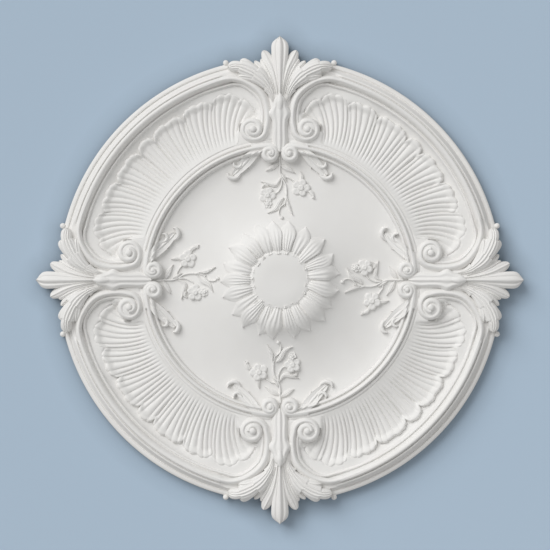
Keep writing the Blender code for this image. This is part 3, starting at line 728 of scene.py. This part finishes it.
def makeSprays(finish):
    piece = bmesh.new()
    rise = spray["rise"]
    for spine, widths in spray["stems"]:
        leaf(piece, sided(spine, 1), widths, (rise, 0.9 * rise, 0.8 * rise), riding=True, rows=40, columns=8,
             fall=2.4)
    for spine, width in spray["leaves"]:
        leaf(piece, sided(spine, 1), (0.3 * width, width, 0.9 * width, 0.1),
             (0.9 * rise, 1.1 * rise, 0.7 * rise), riding=True, rows=28, columns=12, fall=2.0,
             groove=0.8, rib=0.6, lean=1.2)
    for x, y, radius, turned in spray["flowers"]:
        makeFlower(piece, Vector((x, y)), radius, turned)
    for x, y, radius in spray["buds"]:
        centre = Vector((x, y))
        dome(piece, centre, radius, buried, ground(centre) + 1.1 * rise, spray["budSides"])
    quarterTurns(piece)
    finishPiece(piece, "flowerSprays", finish)


# Sunflower: overlapping pointed petals. Each has its own lean round the flower, in degrees; the
# other short rows are taken in turn.
sunflower = {
    "count": 21, "start": 11.4, "inner": 52.5, "halfWidth": 15.5, "sway": 2.2,
    "leans": (-3.0, -2.5, 1.8, 0.8, 4.0, 2.5, 3.7, 0.6, 0.4, 0.3, 4.1,
              1.0, 0.9, -0.3, 1.6, -0.6, 0.3, -0.8, 2.0, -1.1, -1.3),
    "widths": (0.5, 0.62, 0.8, 1.0, 0.96, 0.56, 0.0), "reach": (119, 118, 121, 118, 120),
    "lifts": (0.1, -1.8, 0.4, -1.1, -0.4), "rootTop": 69.4, "rootLift": 0.3, "insets": (0.0, 1.6, -0.8),
    "veins": (2.5, 1.5, 2.0), "tilts": (2.4, 1.4, 2.8),
    "beadRadius": 2.4, "beadTop": 70.6, "beadSides": 14, "beadTurn": 4.0, "beadOut": 3.0,
}


def makeSunflower(finish):
    piece = bmesh.new()
    inner = sunflower["inner"]
    widths = [share * sunflower["halfWidth"] for share in sunflower["widths"]]
    for index in range(sunflower["count"]):
        even = 360 * index / sunflower["count"] + sunflower["start"]
        lean = sunflower["leans"][index]
        reach = sunflower["reach"][index % 5]
        lift = sunflower["lifts"][index % 5]
        sway = sunflower["sway"] * math.sin(2.7 * index)
        spine = [polar(even, inner + sunflower["insets"][index % 3]),
                 polar(even + 0.5 * lean + 0.6 * sway, mix(inner, reach, 0.35)),
                 polar(even + 0.8 * lean + sway, mix(inner, reach, 0.7)),
                 polar(even + lean, reach)]
        tops = [petalTop(smooth(spine, step / 12).length) + lift for step in range(13)]
        tops[0] = sunflower["rootTop"] + sunflower["rootLift"] * lift
        leaf(piece, spine, widths, tops, rows=44, columns=26, fall=3.2, power=2.6,
             veins=sunflower["veins"][index % 3], veinDepth=0.9, veinEnd=0.85,
             lean=sunflower["tilts"][index % 3])
        if index % 3 == 0:
            place = polar(even + sunflower["beadTurn"], inner + sunflower["beadOut"])
            dome(piece, place, sunflower["beadRadius"], buried, sunflower["beadTop"], sunflower["beadSides"])
    finishPiece(piece, "sunflower", finish)


# Stage: a pale blue ceiling sheet that catches the shadow, with painted shade round the rose, and a plain
# pale floor far below
stage = {
    "ceilingColour": "#B2C5D7", "paintedShadeColour": "#4E5A66", "paintedShadeReach": 0.05,
    "ceilingHalf": 6.0, "ceilingHeight": 0.0006, "ceilingRoughness": 0.9,
    "floorColour": "#E6E6E4", "floorHalf": 30.0, "floorHeight": -6.0, "floorRoughness": 0.8,
    "cameraDrop": 4.0, "viewWidth": 1.107, "aside": 0.0098, "up": 0.010, "sensor": 36.0,
}


def makeSheet(name, size, height, material):
    bm = bmesh.new()
    bmesh.ops.create_grid(bm, x_segments=1, y_segments=1, size=size)
    bmesh.ops.translate(bm, vec=(0, 0, height), verts=bm.verts)
    mesh = bpy.data.meshes.new(name)
    bm.to_mesh(mesh)
    bm.free()
    mesh.materials.append(material)
    sheet = bpy.data.objects.new(name, mesh)
    bpy.context.scene.collection.objects.link(sheet)
    return sheet


def ceilingPaint():
    # Matt pale blue emulsion, darkened to a dark grey by painted shade where the rose occludes it nearby
    material, tree, shader = newMaterial("mattCeilingPaint")
    # painted shade: an occlusion mask mixes the ceiling's colour towards dark grey round the rose's edge,
    # standing in for its contact shadow
    paintedShadeMask = addNode(tree, "ShaderNodeAmbientOcclusion", {"Distance": stage["paintedShadeReach"]})
    tint = addNode(tree, "ShaderNodeMix", {"data_type": "RGBA", 6: linear(stage["paintedShadeColour"]),
                                           7: linear(stage["ceilingColour"])}, {0: paintedShadeMask.outputs["AO"]})
    tree.links.new(tint.outputs[2], shader.inputs["Base Color"])
    shader.inputs["Roughness"].default_value = stage["ceilingRoughness"]
    # the sheet shows from below only, so the rose's back can be looked at from above
    behind = addNode(tree, "ShaderNodeNewGeometry").outputs["Backfacing"]
    clear = addNode(tree, "ShaderNodeBsdfTransparent")
    either = addNode(tree, "ShaderNodeMixShader", {}, {0: behind, 1: clear.outputs[0], 2: shader.outputs[0]})
    tree.links.new(either.outputs[0], tree.nodes["Material Output"].inputs["Surface"])
    return material


def floorPaint():
    # Plain pale floor paint, dull enough to throw an even light up
    material, _, shader = newMaterial("paleFloorPaint")
    shader.inputs["Base Color"].default_value = linear(stage["floorColour"])
    shader.inputs["Roughness"].default_value = stage["floorRoughness"]
    return material


def makeStage():
    ceiling = makeSheet("ceilingSheet", stage["ceilingHalf"], stage["ceilingHeight"], ceilingPaint())
    ceiling.visible_diffuse = False
    ceiling.visible_glossy = False
    ceiling.visible_shadow = False
    floor = makeSheet("floor", stage["floorHalf"], stage["floorHeight"], floorPaint())
    floor.visible_shadow = False
    print("stage: ceiling sheet and floor")


# Soft studio light. The rose hangs face down, so the lamps stand below it.
light = {
    "keyPlace": (3.26, 3.26, -4.15), "keyStrength": 1.98, "keyAngle": 44,
    "fillPlace": (-1.5, -1.2, -3.4), "fillPower": 10, "fillSize": 2.6,
    "skyColour": "#F4F5F7", "skyStrength": 0.50,
}


def addLamp(name, kind, place, power, **look):
    data = bpy.data.lights.new(name, kind)
    data.energy = power
    for key, value in look.items():
        setattr(data, key, value)
    lamp = bpy.data.objects.new(name, data)
    lamp.location = place
    lamp.rotation_euler = (-Vector(place)).to_track_quat("-Z", "Y").to_euler()
    bpy.context.scene.collection.objects.link(lamp)


def makeLights():
    # a broad soft key from the photo's upper left, as even as daylight, and a weak fill from the
    # lower right; both are aimed at the rose
    addLamp("keyLight", "SUN", light["keyPlace"], light["keyStrength"], angle=math.radians(light["keyAngle"]))
    addLamp("fillLamp", "AREA", light["fillPlace"], light["fillPower"], shape="DISK", size=light["fillSize"])
    world = bpy.data.worlds.new("studio")
    bpy.context.scene.world = world
    world.use_nodes = True
    background = world.node_tree.nodes["Background"]
    background.inputs["Color"].default_value = linear(light["skyColour"])
    background.inputs["Strength"].default_value = light["skyStrength"]
    print("lights: key, fill and an even sky")


def makeCamera():
    data = bpy.data.cameras.new("cameraBelow")
    data.sensor_width = stage["sensor"]
    data.lens = stage["sensor"] * stage["cameraDrop"] / stage["viewWidth"]
    camera = bpy.data.objects.new("cameraBelow", data)
    camera.location = (stage["aside"], stage["up"], -stage["cameraDrop"])
    camera.rotation_euler = (0, math.pi, 0)
    bpy.context.scene.collection.objects.link(camera)
    bpy.context.scene.camera = camera
    bpy.context.scene.view_settings.view_transform = "Standard"
    print("camera:", stage["cameraDrop"], "m below the rose, looking straight up")


def buildRose():
    finish = primedCasting()
    makeBody(finish)
    makeShells(finish)
    makeScrolls(finish)
    makeCurls(finish)
    makeFinials(finish)
    makeHusks(finish)
    makeRingLeaves(finish)
    makeSprays(finish)
    makeSunflower(finish)


buildRose()
makeStage()
makeLights()
makeCamera()
